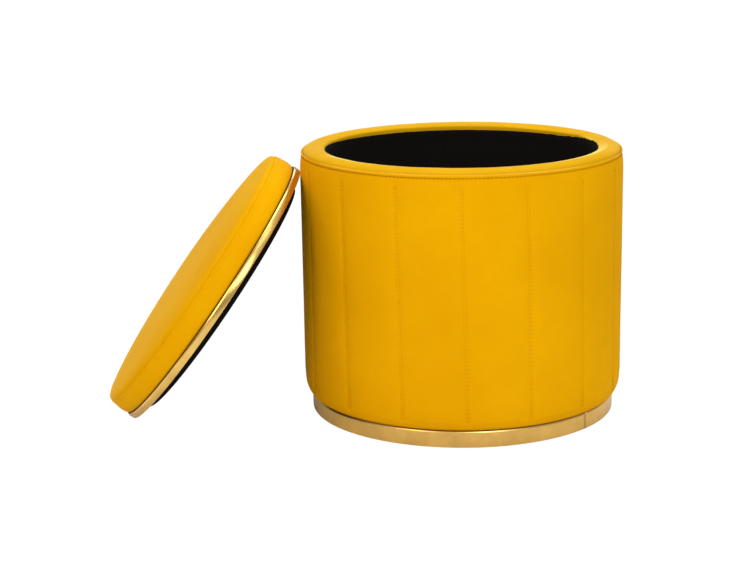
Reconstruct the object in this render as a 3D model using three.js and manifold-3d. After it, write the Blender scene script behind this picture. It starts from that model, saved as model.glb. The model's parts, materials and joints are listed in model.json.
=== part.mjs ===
// A round storage ottoman. A plywood drum, padded and covered in channelled velvet, stands on a
// metal-edged plinth and is lined in black cloth. Its loose cushioned lid has a metal-edged base
// and a plug that drops into the mouth of the drum. The lid is modelled off the drum, leaning
// against its side. Millimetres, +Z up, with the origin on the floor under the drum's axis.
import * as THREE from "three";
import { mergeVertices } from "three/addons/utils/BufferGeometryUtils.js";
import Module from "manifold-3d";

const wasm = await Module();
wasm.setup();

// Clearances
const GAP = 0.35; // between two pieces that touch
const PLUG_CLEARANCE = 4.4; // all round, between the lid's plug and the lining
const SHADOW_GAP = 1.1; // between the plinth and the drum's cover
const HOLE_SPARE = 2; // a hole runs on past both ends of what it holds

// Drum, from the outside in
const DRUM_RADIUS = 201;
const RIM_HEIGHT = 335.8; // floor to the crown of the rim
const COVER_THICKNESS = 1.8;
const SIDE_FOAM_THICKNESS = 10.2;
const WALL_THICKNESS = 16;
const LINING_THICKNESS = 1.6;
const HEM_WIDTH = 14; // of the cover, turned in under the wall
const FOOT_ROUNDING = new THREE.Vector2(5.5, 24); // inwards and upwards, at the cover's foot
const SHOULDER_ROUNDING = new THREE.Vector2(1.6, 13); // inwards and downwards, at its top seam
const BOTTOM_THICKNESS = 14;
const FLOOR_PANEL_THICKNESS = 3;

// Rim
const RIM_RISE = 9.8; // of the crown above the top seam
const RIM_SKIN = 1.6;
const RIM_FULLNESS = 2.4; // 2 is an ellipse, more is squarer
const TOP_RING_THICKNESS = 9;
const RIM_FOAM_BASE = 3.2; // depth of the rim's foam below the top seam

// Plinth
const PLINTH_INSET = 9; // of the band behind the drum's side
const PLINTH_THICKNESS = 18;
const PLINTH_BAND_THICKNESS = 1.2;
const PLINTH_BAND_DROP = 2.1; // of the band below the plinth's underside
const PLINTH_SEAM_AZIMUTH = -43.5; // degrees, where the ends of the strip butt
const SEAM_SLIT = 0.6;
const DUST_COVER_THICKNESS = 0.8;
const DUST_COVER_INSET = 6; // from the glides' pads
const GLIDE_COUNT = 4;
const GLIDE_RADIUS = 11;
const GLIDE_HEIGHT = 3.35;
const GLIDE_SHANK_RADIUS = 2;
const GLIDE_SHANK_LENGTH = 12;
const GLIDE_INSET = 27; // of its axis, from the plinth's edge
const PLINTH_SCREW_COUNT = 4;
const PLINTH_SCREW_INSET = 44;

// Lid, measured from its band's lower edge
const LID_INSET = 13.3; // of the band behind the drum's side
const LID_BAND_THICKNESS = 1.2;
const LID_BASE_THICKNESS = 9; // which is the height of the band round it
const LID_COVER_INSET = 1.6; // of the velvet's foot behind the band
const CUSHION_BOARD_THICKNESS = 9;
const BOXING_HEIGHT = 35.5; // band's lower edge to the cushion's top seam
const BOXING_DRAW = 2.4; // inwards, from the foot of the boxing to the top seam
const BOXING_BULGE = 1.2;
const CROWN_RISE = 9.5; // of the cushion above its top seam
const LID_COVER_THICKNESS = 1.6;
const PLUG_DEPTH = 7.6;
const PLUG_LINING_THICKNESS = 0.8;
const LID_SCREW_COUNT = 4;
const LID_SCREW_INSET = 46; // from the plug's edge
const LID_TOUCH_DROP = 22.3; // from the top seam down to where the leaning lid touches
const LID_REST_GAP = 0.3; // between the leaning lid and the drum

// Fasteners
const SCREW_RADIUS = 2;
const SCREW_HEAD_RADIUS = 4;
const SCREW_HEAD_HEIGHT = 2.4;
const SCREW_TIP = 4;
const SCREW_SINK = 1; // of a head below the face it is driven from
const SCREW_BACKING = 4; // wood between a tip and the far face of the last board it enters
const PIN_RADIUS = 0.9;
const PIN_HEAD_RADIUS = 2;
const PIN_HEAD_HEIGHT = 0.7;
const PIN_LENGTH = 11;
const PIN_SPACING = 9; // between the pins on either side of the lid band's seam

// How finely round shapes are divided
const ROUND = 40;
const SMALL_ROUND = 12;
const CURVE_STEPS = 4;

// Radii of the drum's layers, the plinth and the lid
const coverInner = DRUM_RADIUS - COVER_THICKNESS;
const foamOuter = coverInner - GAP;
const foamInner = foamOuter - SIDE_FOAM_THICKNESS;
const wallOuter = foamInner - GAP;
const wallInner = wallOuter - WALL_THICKNESS;
const liningOuter = wallInner - GAP;
const liningInner = liningOuter - LINING_THICKNESS;
const plinthRadius = DRUM_RADIUS - PLINTH_INSET;
const lidRadius = DRUM_RADIUS - LID_INSET;

// Heights of the plinth and the drum
const plinthBottom = GLIDE_HEIGHT + GAP;
const dustCoverTop = plinthBottom - GAP;
const plinthTop = plinthBottom + PLINTH_THICKNESS;
const coverFoot = plinthTop + SHADOW_GAP;
const wallBottom = coverFoot + COVER_THICKNESS + GAP;
const bottomUnderside = plinthTop + GAP;
const bottomTop = bottomUnderside + BOTTOM_THICKNESS;
const panelBottom = bottomTop + GAP;
const panelTop = panelBottom + FLOOR_PANEL_THICKNESS;
const topSeam = RIM_HEIGHT - RIM_RISE;
const rimFoamBottom = topSeam - RIM_FOAM_BASE;
const topRingBottom = rimFoamBottom - GAP - TOP_RING_THICKNESS;

// Heights and radii of the lid, in its own frame
const lidBaseRadius = lidRadius - LID_BAND_THICKNESS - GAP;
const boxingFootRadius = lidRadius - LID_COVER_INSET;
const boxingTopRadius = boxingFootRadius - BOXING_DRAW;
const cushionInner = boxingTopRadius - LID_COVER_THICKNESS - GAP;
const boardBottom = LID_BASE_THICKNESS + GAP; // and the boxing's foot
const boardTop = boardBottom + CUSHION_BOARD_THICKNESS;
const plugRadius = liningInner - PLUG_CLEARANCE;
const plugBoardRadius = plugRadius - PLUG_LINING_THICKNESS - GAP;
const plugBoardBottom = PLUG_LINING_THICKNESS + GAP - PLUG_DEPTH;
const pinHeight = LID_BASE_THICKNESS / 2;

const radians = THREE.MathUtils.degToRad;

const finishes = {
  velvet: { color: 0xe0a008, roughness: 0.85, metalness: 0 },
  gold: { color: 0xc89a52, roughness: 0.25, metalness: 1 },
  black: { color: 0x0e0c0a, roughness: 0.95, metalness: 0 },
  board: { color: 0xc8a878, roughness: 0.8, metalness: 0 },
  foam: { color: 0xe8e0c8, roughness: 0.95, metalness: 0 },
  steel: { color: 0x9a9a9a, roughness: 0.4, metalness: 1 },
  plastic: { color: 0x202020, roughness: 0.6, metalness: 0 },
};

function piece(name, geometry, finish) {
  const mesh = new THREE.Mesh(geometry, new THREE.MeshStandardMaterial(finishes[finish]));
  mesh.name = name;
  return mesh;
}

// A solid of revolution about +Z. The profile is a list of [radius, height] that runs
// anticlockwise, so up its outer side, and either starts and ends on the axis or closes itself.
function turned(profile, divisions = ROUND) {
  const points = profile.map(([radius, height]) => new THREE.Vector2(radius, height));
  if (points[0].x > 0) points.push(points[0].clone());
  return new THREE.LatheGeometry(points, divisions).rotateX(Math.PI / 2);
}

function disc(radius, bottom, top, divisions = ROUND) {
  return turned([[0, bottom], [radius, bottom], [radius, top], [0, top]], divisions);
}

function ring(inner, outer, bottom, top) {
  return turned([[inner, bottom], [outer, bottom], [outer, top], [inner, top]]);
}

// A quarter of an ellipse from one [radius, height] to another, leaving the first one upright
// when `upright` is true and level when it is not.
function quarter(from, to, upright) {
  const points = [];
  for (let i = 0; i <= CURVE_STEPS; i++) {
    const angle = (i / CURVE_STEPS) * (Math.PI / 2);
    const across = upright ? 1 - Math.cos(angle) : Math.sin(angle);
    const along = upright ? Math.sin(angle) : 1 - Math.cos(angle);
    points.push([
      THREE.MathUtils.lerp(from[0], to[0], across),
      THREE.MathUtils.lerp(from[1], to[1], along),
    ]);
  }
  return points;
}

function solidOf(geometry) {
  const bare = geometry.clone().deleteAttribute("normal").deleteAttribute("uv");
  const merged = mergeVertices(bare);
  const vertProperties = merged.attributes.position.array;
  const triVerts = new Uint32Array(merged.index.array);
  return new wasm.Manifold(new wasm.Mesh({ numProp: 3, vertProperties, triVerts }));
}

function cut(geometry, tools) {
  let solid = solidOf(geometry);
  for (const tool of tools) solid = solid.subtract(solidOf(tool));
  const { vertProperties, triVerts } = solid.getMesh();
  return new THREE.BufferGeometry()
    .setAttribute("position", new THREE.BufferAttribute(vertProperties, 3))
    .setIndex(new THREE.BufferAttribute(triVerts, 1));
}

// Points evenly round a circle, the first at half a step from +X.
function aroundCircle(count, radius) {
  const places = [];
  for (let i = 0; i < count; i++) {
    const angle = ((i + 0.5) / count) * 2 * Math.PI;
    places.push([radius * Math.cos(angle), radius * Math.sin(angle)]);
  }
  return places;
}

// A countersunk screw that points up, its head's face at `bottom`.
function screwShape(bottom, top) {
  return turned([
    [0, bottom],
    [SCREW_HEAD_RADIUS, bottom],
    [SCREW_RADIUS, bottom + SCREW_HEAD_HEIGHT],
    [SCREW_RADIUS, top - SCREW_TIP],
    [0, top],
  ], SMALL_ROUND);
}

// The cutter for that screw's hole, which runs on below the head and above the tip.
function screwHole(bottom, top) {
  return turned([
    [0, bottom - HOLE_SPARE],
    [SCREW_HEAD_RADIUS + GAP, bottom - HOLE_SPARE],
    [SCREW_HEAD_RADIUS + GAP, bottom],
    [SCREW_RADIUS + GAP, bottom + SCREW_HEAD_HEIGHT],
    [SCREW_RADIUS + GAP, top + HOLE_SPARE],
    [0, top + HOLE_SPARE],
  ], SMALL_ROUND);
}

// The strip round a board's edge, bent from flat metal so that its ends butt at one seam.
function metalBand(radius, thickness, bottom, top, seamAzimuth) {
  const strip = ring(radius - thickness, radius, bottom, top);
  const slit = new THREE.BoxGeometry(4 * thickness, SEAM_SLIT, 2 * (top - bottom));
  slit.translate(radius, 0, (bottom + top) / 2);
  slit.rotateZ(seamAzimuth);
  return cut(strip, [slit]);
}

const plinthScrews = {
  places: aroundCircle(PLINTH_SCREW_COUNT, plinthRadius - PLINTH_SCREW_INSET),
  bottom: plinthBottom + SCREW_SINK,
  top: bottomTop - SCREW_BACKING,
};
const lidScrews = {
  places: aroundCircle(LID_SCREW_COUNT, plugRadius - LID_SCREW_INSET),
  bottom: plugBoardBottom + SCREW_SINK,
  top: boardTop - SCREW_BACKING,
};
const glidePlaces = aroundCircle(GLIDE_COUNT, plinthRadius - GLIDE_INSET);

function screwHoles({ places, bottom, top }) {
  return places.map(([x, y]) => screwHole(bottom, top).translate(x, y, 0));
}

function screws(name, { places, bottom, top }) {
  return places.map(([x, y], i) => {
    const screw = piece(name + "_" + (i + 1), screwShape(bottom, top), "steel");
    screw.position.set(x, y, 0);
    return screw;
  });
}

function glideHoles() {
  const top = GLIDE_HEIGHT + GLIDE_SHANK_LENGTH + HOLE_SPARE;
  return glidePlaces.map(([x, y]) =>
    disc(GLIDE_SHANK_RADIUS + GAP, 0, top, SMALL_ROUND).translate(x, y, 0));
}

// Furniture glides: a round pad on a nail that is driven up into the plinth.
function glides() {
  return glidePlaces.map(([x, y], i) => {
    const shape = turned([
      [0, 0],
      [GLIDE_RADIUS - GLIDE_HEIGHT / 2, 0],
      [GLIDE_RADIUS, GLIDE_HEIGHT / 2],
      [GLIDE_RADIUS, GLIDE_HEIGHT],
      [GLIDE_SHANK_RADIUS, GLIDE_HEIGHT],
      [GLIDE_SHANK_RADIUS, GLIDE_HEIGHT + GLIDE_SHANK_LENGTH],
      [0, GLIDE_HEIGHT + GLIDE_SHANK_LENGTH],
    ], SMALL_ROUND);
    const glide = piece("glide_" + (i + 1), shape, "plastic");
    glide.position.set(x, y, 0);
    return glide;
  });
}

// A disc of cloth stapled to the plinth's underside, inside the circle of glides.
function dustCover() {
  const radius = plinthRadius - GLIDE_INSET - GLIDE_RADIUS - DUST_COVER_INSET;
  return piece("dust_cover", disc(radius, dustCoverTop - DUST_COVER_THICKNESS, dustCoverTop), "black");
}

function plinthDisc() {
  const board = disc(plinthRadius - PLINTH_BAND_THICKNESS - GAP, plinthBottom, plinthTop);
  return piece("plinth_disc", cut(board, [...glideHoles(), ...screwHoles(plinthScrews)]), "board");
}

function plinthBand() {
  const bottom = plinthBottom - PLINTH_BAND_DROP;
  const seam = radians(PLINTH_SEAM_AZIMUTH);
  const strip = metalBand(plinthRadius, PLINTH_BAND_THICKNESS, bottom, plinthTop, seam);
  return piece("plinth_band", strip, "gold");
}

function drumBottom() {
  const board = disc(wallInner - GAP, bottomUnderside, bottomTop);
  return piece("drum_bottom", cut(board, screwHoles(plinthScrews)), "board");
}

function drumWall() {
  return piece("drum_wall", ring(wallInner, wallOuter, wallBottom, topRingBottom - GAP), "board");
}

function topRing() {
  const top = topRingBottom + TOP_RING_THICKNESS;
  return piece("top_ring", ring(wallInner, wallOuter, topRingBottom, top), "board");
}

// The outside of the drum's cover, from its foot to its top seam.
function coverSide(inset) {
  const radius = DRUM_RADIUS - inset;
  const foot = coverFoot + inset;
  return [
    ...quarter([radius - FOOT_ROUNDING.x, foot], [radius, foot + FOOT_ROUNDING.y], false),
    ...quarter([radius, topSeam - GAP - SHOULDER_ROUNDING.y],
      [radius - SHOULDER_ROUNDING.x, topSeam - GAP], true),
  ];
}

function sideCover() {
  const hemInner = wallOuter - HEM_WIDTH;
  const profile = [
    [hemInner, coverFoot],
    ...coverSide(0),
    ...coverSide(COVER_THICKNESS).reverse(),
    [hemInner, coverFoot + COVER_THICKNESS],
  ];
  return piece("side_cover", turned(profile), "velvet");
}

function sideFoam() {
  const inset = COVER_THICKNESS + GAP;
  const top = topRingBottom - GAP;
  const outside = coverSide(inset).filter(([, height]) => height < top);
  const profile = [
    [foamInner, coverFoot + inset],
    ...outside,
    [foamOuter, top],
    [foamInner, top],
  ];
  return piece("side_foam", turned(profile), "foam");
}

// The arch of the rim over its foam, from the outer edge to the inner one.
function rimArch(inset) {
  const outer = DRUM_RADIUS - SHOULDER_ROUNDING.x - inset;
  const inner = liningInner + inset;
  const middle = (outer + inner) / 2;
  const half = (outer - inner) / 2;
  const rise = RIM_RISE - inset;
  const points = [];
  for (let i = 0; i <= 2 * CURVE_STEPS; i++) {
    const angle = (i / (2 * CURVE_STEPS)) * Math.PI;
    const across = Math.sign(Math.cos(angle)) * Math.abs(Math.cos(angle)) ** (2 / RIM_FULLNESS);
    const up = Math.sin(angle) ** (2 / RIM_FULLNESS);
    points.push([middle + half * across, topSeam + rise * up]);
  }
  return points;
}

function rimFoam() {
  const arch = rimArch(RIM_SKIN + GAP);
  const outer = arch[0][0];
  const profile = [[wallInner, rimFoamBottom], [outer, rimFoamBottom], ...arch.slice(0, -2),
    [wallInner, topSeam]];
  return piece("rim_foam", turned(profile), "foam");
}

function rimCover() {
  return piece("rim_cover", turned([...rimArch(0), ...rimArch(RIM_SKIN).reverse()]), "velvet");
}

function storageFloor() {
  return piece("storage_floor", disc(liningOuter, panelBottom, panelTop), "black");
}

function liningWall() {
  return piece("lining_wall", ring(liningInner, liningOuter, panelTop + GAP, topSeam - GAP), "black");
}

function drum() {
  const group = new THREE.Group();
  group.add(
    ...glides(), dustCover(), plinthDisc(), plinthBand(), ...screws("plinth_screw", plinthScrews),
    drumBottom(), drumWall(), topRing(), sideFoam(), sideCover(), rimFoam(), rimCover(),
    storageFloor(), liningWall(),
  );
  return group;
}

// Brads that hold the ends of the lid band's strip. The first lies on the lid's cross axis, at
// the back of the band, and the second is on the other side of the strip's seam.
const pinTurns = [0, -PIN_SPACING / lidRadius];

function pinShape(room = 0) {
  const shape = turned([
    [0, -PIN_LENGTH - room],
    [PIN_RADIUS + room, -PIN_LENGTH - room],
    [PIN_RADIUS + room, GAP],
    [PIN_HEAD_RADIUS + room, GAP],
    [PIN_HEAD_RADIUS + room, GAP + PIN_HEAD_HEIGHT],
    [0, GAP + PIN_HEAD_HEIGHT],
  ], SMALL_ROUND);
  return shape.rotateX(-Math.PI / 2).translate(0, lidRadius, pinHeight);
}

function pinHoles() {
  return pinTurns.map((turn) => pinShape(GAP).rotateZ(turn));
}

function bandPins() {
  return pinTurns.map((turn, i) =>
    piece("lid_band_pin_" + (i + 1), pinShape().rotateZ(turn), "gold"));
}

function lidBand() {
  const seam = Math.PI / 2 + pinTurns[1] / 2;
  const strip = metalBand(lidRadius, LID_BAND_THICKNESS, 0, LID_BASE_THICKNESS, seam);
  return piece("lid_band", cut(strip, pinHoles()), "gold");
}

function lidBase() {
  const board = disc(lidBaseRadius, 0, LID_BASE_THICKNESS);
  return piece("lid_base", cut(board, [...pinHoles(), ...screwHoles(lidScrews)]), "board");
}

function cushionBoard() {
  const board = disc(cushionInner, boardBottom, boardTop);
  return piece("cushion_board", cut(board, screwHoles(lidScrews)), "board");
}

// The boxing's outside, a shallow bulge from its foot to the top seam, and the same curve inside.
function boxingSide(inset) {
  const points = [];
  for (let i = 0; i <= CURVE_STEPS; i++) {
    const along = i / CURVE_STEPS;
    const straight = THREE.MathUtils.lerp(boxingFootRadius, boxingTopRadius, along);
    const radius = straight + BOXING_BULGE * Math.sin(along * Math.PI) - inset;
    points.push([radius, THREE.MathUtils.lerp(boardBottom, BOXING_HEIGHT, along)]);
  }
  return points;
}

function lidBoxing() {
  const profile = [...boxingSide(0), ...boxingSide(LID_COVER_THICKNESS).reverse()];
  return piece("lid_boxing", turned(profile), "velvet");
}

// The crown over the cushion, from the top seam in to the middle.
function crown(base, radius, rise) {
  const points = [];
  for (let i = 0; i <= CURVE_STEPS; i++) {
    const angle = (i / CURVE_STEPS) * (Math.PI / 2);
    points.push([radius * Math.cos(angle), base + rise * Math.sin(angle)]);
  }
  return points;
}

function lidTopPanel() {
  const base = BOXING_HEIGHT + GAP;
  const inside = crown(base, boxingTopRadius - LID_COVER_THICKNESS, CROWN_RISE - GAP
    - LID_COVER_THICKNESS);
  const outside = crown(base, boxingTopRadius, CROWN_RISE - GAP);
  return piece("lid_top_panel", turned([...inside.reverse(), ...outside]), "velvet");
}

function lidFoam() {
  const rise = CROWN_RISE - LID_COVER_THICKNESS - 2 * GAP;
  const profile = [[0, boardTop + GAP], [cushionInner, boardTop + GAP],
    ...crown(BOXING_HEIGHT, cushionInner, rise)];
  return piece("lid_foam", turned(profile), "foam");
}

function plugBoard() {
  const board = disc(plugBoardRadius, plugBoardBottom, -GAP);
  return piece("plug_board", cut(board, screwHoles(lidScrews)), "board");
}

// A shallow cup of cloth over the plug board.
function plugLining() {
  const inner = plugRadius - PLUG_LINING_THICKNESS;
  const profile = [[0, -PLUG_DEPTH], [plugRadius, -PLUG_DEPTH], [plugRadius, -GAP], [inner, -GAP],
    [inner, PLUG_LINING_THICKNESS - PLUG_DEPTH], [0, PLUG_LINING_THICKNESS - PLUG_DEPTH]];
  return piece("plug_lining", turned(profile), "black");
}

// The lid leans against the drum's left side: the lower edge of its band meets the floor at one
// end and the cover at the other.
function leaningLid() {
  const lean = Math.asin((topSeam - LID_TOUCH_DROP) / (2 * lidRadius));
  const group = new THREE.Group();
  group.add(
    lidBand(), ...bandPins(), lidBase(), cushionBoard(), lidFoam(), lidBoxing(), lidTopPanel(),
    plugBoard(), plugLining(), ...screws("lid_screw", lidScrews),
  );
  group.rotation.y = -lean;
  group.position.x = -(DRUM_RADIUS + LID_REST_GAP + lidRadius * Math.cos(lean));
  group.position.z = lidRadius * Math.sin(lean);
  return group;
}

const ottoman = new THREE.Group();
ottoman.add(drum(), leaningLid());

export default ottoman;
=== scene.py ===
# %% [markdown]
# # A round storage ottoman in mustard velvet
# The real piece is a plywood drum, padded, dressed in velvet that is sewn into sixteen upright
# channels, and stood on a plinth with a gold metal edge. Its lid is a loose cushion on a board
# with the same gold edge, and it leans against the drum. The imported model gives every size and
# place here, so each step starts from a box of that model and adds what an upholsterer would.

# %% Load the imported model
import json
import math

import bmesh
import bpy
from mathutils import Matrix, Vector, noise
from mathutils.bvhtree import BVHTree


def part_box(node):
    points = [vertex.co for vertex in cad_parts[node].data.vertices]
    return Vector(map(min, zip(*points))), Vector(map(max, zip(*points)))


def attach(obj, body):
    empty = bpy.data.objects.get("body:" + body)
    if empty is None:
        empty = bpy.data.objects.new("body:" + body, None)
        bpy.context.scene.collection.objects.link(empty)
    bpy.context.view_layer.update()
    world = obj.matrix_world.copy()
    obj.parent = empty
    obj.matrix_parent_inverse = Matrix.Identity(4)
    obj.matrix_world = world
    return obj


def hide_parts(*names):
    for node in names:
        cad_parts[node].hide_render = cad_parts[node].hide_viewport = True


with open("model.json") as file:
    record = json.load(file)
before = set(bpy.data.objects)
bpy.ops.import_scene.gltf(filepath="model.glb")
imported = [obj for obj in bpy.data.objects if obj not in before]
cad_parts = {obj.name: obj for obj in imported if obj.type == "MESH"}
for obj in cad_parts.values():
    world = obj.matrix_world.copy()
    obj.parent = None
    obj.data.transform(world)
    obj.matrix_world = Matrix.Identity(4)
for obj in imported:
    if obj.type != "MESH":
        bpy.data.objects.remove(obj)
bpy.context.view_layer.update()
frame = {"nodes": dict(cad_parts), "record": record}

# %% [markdown]
# ## Measurements
# A maker works from a few lines on the drum: its radius, the foot of the cover, the line where
# the rim is sewn on, and the mouth. Each is read from the box of the node that sets it, so a
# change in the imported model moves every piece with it. Lengths are in millimetres and are
# turned into metres only where a vertex is made.

# %% Read the drum's measurements
MM = 0.001
TURN = 2 * math.pi
ORIGIN = (0.0, 0.0, 0.0)
UP = (0.0, 0.0, 1.0)


def spans(node):
    """The radius, the lowest height and the highest height of a node round the drum, in mm."""
    low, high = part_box(node)
    return high.x / MM, low.z / MM, high.z / MM


drum_radius, cover_foot, _ = spans("side_cover")
_, top_seam, crown_height = spans("rim_cover")
lining_radius, lining_foot, _ = spans("lining_wall")
plinth_radius, plinth_low, plinth_high = spans("plinth_band")
wall_radius, _, _ = spans("drum_wall")
panel_radius, panel_low, panel_high = spans("storage_floor")
dust_radius, dust_low, dust_high = spans("dust_cover")
print(f"drum radius {drum_radius:.1f} mm, top seam at {top_seam:.1f} mm")

# %% [markdown]
# ## Camera
# The ottoman is seen from a little above its rim, through a long lens from about two metres
# away, as such a piece is shown in a shop. The camera is made by hand from a place, a bearing,
# a tilt and a slight roll, because a tracking constraint would leave no say over the roll.

# %% Set up the camera
CAMERA_PLACE = Vector((-0.1994, -2.0866, 0.6648))
CAMERA_BEARING = math.radians(-2.45)  # to the right of straight ahead
CAMERA_TILT = math.radians(90.0) - 0.2364  # down from level
CAMERA_ROLL = -0.016
LENS = 81.2
SENSOR = 36.0


def in_scene(name, data):
    """An object for a mesh, a camera or a light, in the scene."""
    made = bpy.data.objects.new(name, data)
    bpy.context.scene.collection.objects.link(made)
    return made


camera_data = bpy.data.cameras.new("camera")
camera_data.lens = LENS
camera_data.sensor_width = SENSOR
camera = in_scene("camera", camera_data)
camera.matrix_world = (
    Matrix.Translation(CAMERA_PLACE)
    @ Matrix.Rotation(CAMERA_BEARING, 4, "Z")
    @ Matrix.Rotation(CAMERA_TILT, 4, "X")
    @ Matrix.Rotation(CAMERA_ROLL, 4, "Z")
)
bpy.context.scene.camera = camera
bpy.context.scene.view_settings.view_transform = "Standard"
print("camera at", tuple(round(c, 3) for c in CAMERA_PLACE), "with a lens of", LENS, "mm")

# %% [markdown]
# ## Nodes without the clicking
# Materials are built from many small nodes. A few short helpers keep that readable: one adds a
# node with its inputs given as values or as other nodes' outputs, and the others are the mix, the
# stretched range, the noise and the sum that come back in every material.

# %% Helpers for shader nodes
FLOAT, COLOUR, VECTOR = "NodeSocketFloat", "NodeSocketColor", "NodeSocketVector"


def feed(tree, socket, value):
    """Sets a socket to a value, or links it to another node's output."""
    if isinstance(value, bpy.types.NodeSocket):
        tree.links.new(value, socket)
    else:
        socket.default_value = value


def add(tree, kind, settings=None, **inputs):
    """A new node, with its settings and with each input set to a value or linked."""
    made = tree.nodes.new(kind)
    for name, value in (settings or {}).items():
        setattr(made, name, value)
    for name, value in inputs.items():
        feed(tree, made.inputs[name.replace("_", " ")], value)
    return made


def mixed(tree, share, first, second):
    """The output of a node that mixes two colours."""
    made = add(tree, "ShaderNodeMix", {"data_type": "RGBA"})
    for index, value in ((0, share), (6, first), (7, second)):
        feed(tree, made.inputs[index], value)
    return made.outputs[2]


def spread(tree, value, low, high, to_low=0.0, to_high=1.0):
    """The output of a node that stretches one range of values to another."""
    return add(tree, "ShaderNodeMapRange", Value=value, From_Min=low, From_Max=high,
               To_Min=to_low, To_Max=to_high).outputs["Result"]


def noisy(tree, place, scale, detail, roughness, distortion=0.0):
    """The output of a noise texture."""
    return add(tree, "ShaderNodeTexNoise", Vector=place, Scale=scale, Detail=detail,
               Roughness=roughness, Distortion=distortion).outputs["Fac"]


def added(tree, value, factor, base):
    """The output of a node that adds a share of one value to another."""
    made = add(tree, "ShaderNodeMath", {"operation": "MULTIPLY_ADD"})
    for socket, part in zip(made.inputs, (value, factor, base)):
        feed(tree, socket, part)
    return made.outputs["Value"]


def new_group(name, **inputs):
    """A node group with named inputs that gives a colour, a roughness and a height."""
    group = bpy.data.node_groups.new(name, "ShaderNodeTree")
    for label, kind in inputs.items():
        group.interface.new_socket(name=label.replace("_", " "), in_out="INPUT", socket_type=kind)
    for label, kind in (("Color", COLOUR), ("Roughness", FLOAT), ("Height", FLOAT)):
        group.interface.new_socket(name=label, in_out="OUTPUT", socket_type=kind)
    taken = group.nodes.new("NodeGroupInput").outputs
    return group, taken, group.nodes.new("NodeGroupOutput").inputs


def give(group, ends, **values):
    """Links what a group has made to its outputs."""
    for label, value in values.items():
        group.links.new(value, ends[label.replace("_", " ")])


# %% [markdown]
# ## Studio
# The ottoman stands on a white sweep under large soft boxes. The floor here is a wide white
# plane. What the camera sees of it is mostly an even white glow, as a sweep that is lit on its own
# would be, with a faint trace of the real shadows left in. Everything else sees plain white paper,
# so the gold still reflects the darkness under the leaning lid. The sky is dimmer near the
# horizon, which gives the metal something dark to reflect, and large area lights do the rest.

# %% Build the floor and the sky
FLOOR_HALF = 60.0
FLOOR_COLOUR = (0.82, 0.82, 0.82, 1.0)
FLOOR_GLOW = 0.03  # all round
FLOOR_WASH = 0.95  # how much of what the camera sees is an even white
WASH_STRENGTH = 1.05
WHITE = (1.0, 1.0, 1.0, 1.0)
SKY_LOW = (0.30, 0.30, 0.31, 1.0)
SKY_HIGH = (0.72, 0.72, 0.72, 1.0)

floor_shape = bmesh.new()
bmesh.ops.create_grid(floor_shape, x_segments=1, y_segments=1, size=FLOOR_HALF)
floor_mesh = bpy.data.meshes.new("studio_floor")
floor_shape.to_mesh(floor_mesh)
floor_shape.free()
in_scene("studio_floor", floor_mesh)

paper = bpy.data.materials.new("studio_paper")
paper.use_nodes = True
paper_tree = paper.node_tree
paper_shader = paper_tree.nodes["Principled BSDF"]
for label, value in (("Base Color", FLOOR_COLOUR), ("Roughness", 1.0), ("Emission Color", WHITE),
                     ("Specular IOR Level", 0.0), ("Emission Strength", FLOOR_GLOW)):
    paper_shader.inputs[label].default_value = value
wash = add(paper_tree, "ShaderNodeEmission", Strength=WASH_STRENGTH)
seen = add(paper_tree, "ShaderNodeLightPath")
wash_share = added(paper_tree, seen.outputs["Is Camera Ray"], FLOOR_WASH, 0.0)
washed = add(paper_tree, "ShaderNodeMixShader", Fac=wash_share)
paper_tree.links.new(paper_shader.outputs["BSDF"], washed.inputs[1])
paper_tree.links.new(wash.outputs["Emission"], washed.inputs[2])
paper_tree.links.new(washed.outputs["Shader"],
                     paper_tree.nodes["Material Output"].inputs["Surface"])
floor_mesh.materials.append(paper)

sky = bpy.data.worlds.new("studio_sky")
sky.use_nodes = True
bpy.context.scene.world = sky
sky_tree = sky.node_tree
sky_place = add(sky_tree, "ShaderNodeTexCoord")
sky_axes = add(sky_tree, "ShaderNodeSeparateXYZ", Vector=sky_place.outputs["Generated"])
sky_share = spread(sky_tree, sky_axes.outputs["Z"], 0.05, 0.7)
sky_tree.links.new(mixed(sky_tree, sky_share, SKY_LOW, SKY_HIGH),
                   sky_tree.nodes["Background"].inputs["Color"])
print("a white floor and a sky that is dimmer low down")

# %% Hang the soft boxes
DRUM_MIDDLE = (0.0, 0.0, 0.17)
LEAN_MIDDLE = (-0.2, 0.0, 0.2)
WARM = (1.0, 0.76, 0.52)


def softbox(name, place, target, width, height, power):
    """A rectangular area light that faces a point."""
    data = bpy.data.lights.new(name, "AREA")
    data.shape = "RECTANGLE"
    data.size = width
    data.size_y = height
    data.energy = power
    light = in_scene(name, data)
    aim = (Vector(target) - Vector(place)).to_track_quat("-Z", "Y")
    light.matrix_world = Matrix.Translation(place) @ aim.to_matrix().to_4x4()
    return light


softbox("key_light", (0.7, -2.5, 1.6), DRUM_MIDDLE, width=1.4, height=1.2, power=21.0)
softbox("band_light", (0.72, -0.80, 1.95), LEAN_MIDDLE, width=0.9, height=0.8, power=3.5)
softbox("top_light", (-0.1, 0.35, 1.9), DRUM_MIDDLE, width=1.5, height=1.1, power=13.5)
softbox("back_light", (0.2, 1.9, 1.1), DRUM_MIDDLE, width=2.2, height=0.7, power=7.6)
left_light = softbox("left_light", (-1.7, -2.0, 1.55), LEAN_MIDDLE, width=0.9, height=1.3,
                     power=18.0)
left_light.data.color = WARM
print(len(bpy.data.lights), "soft lights")
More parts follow.
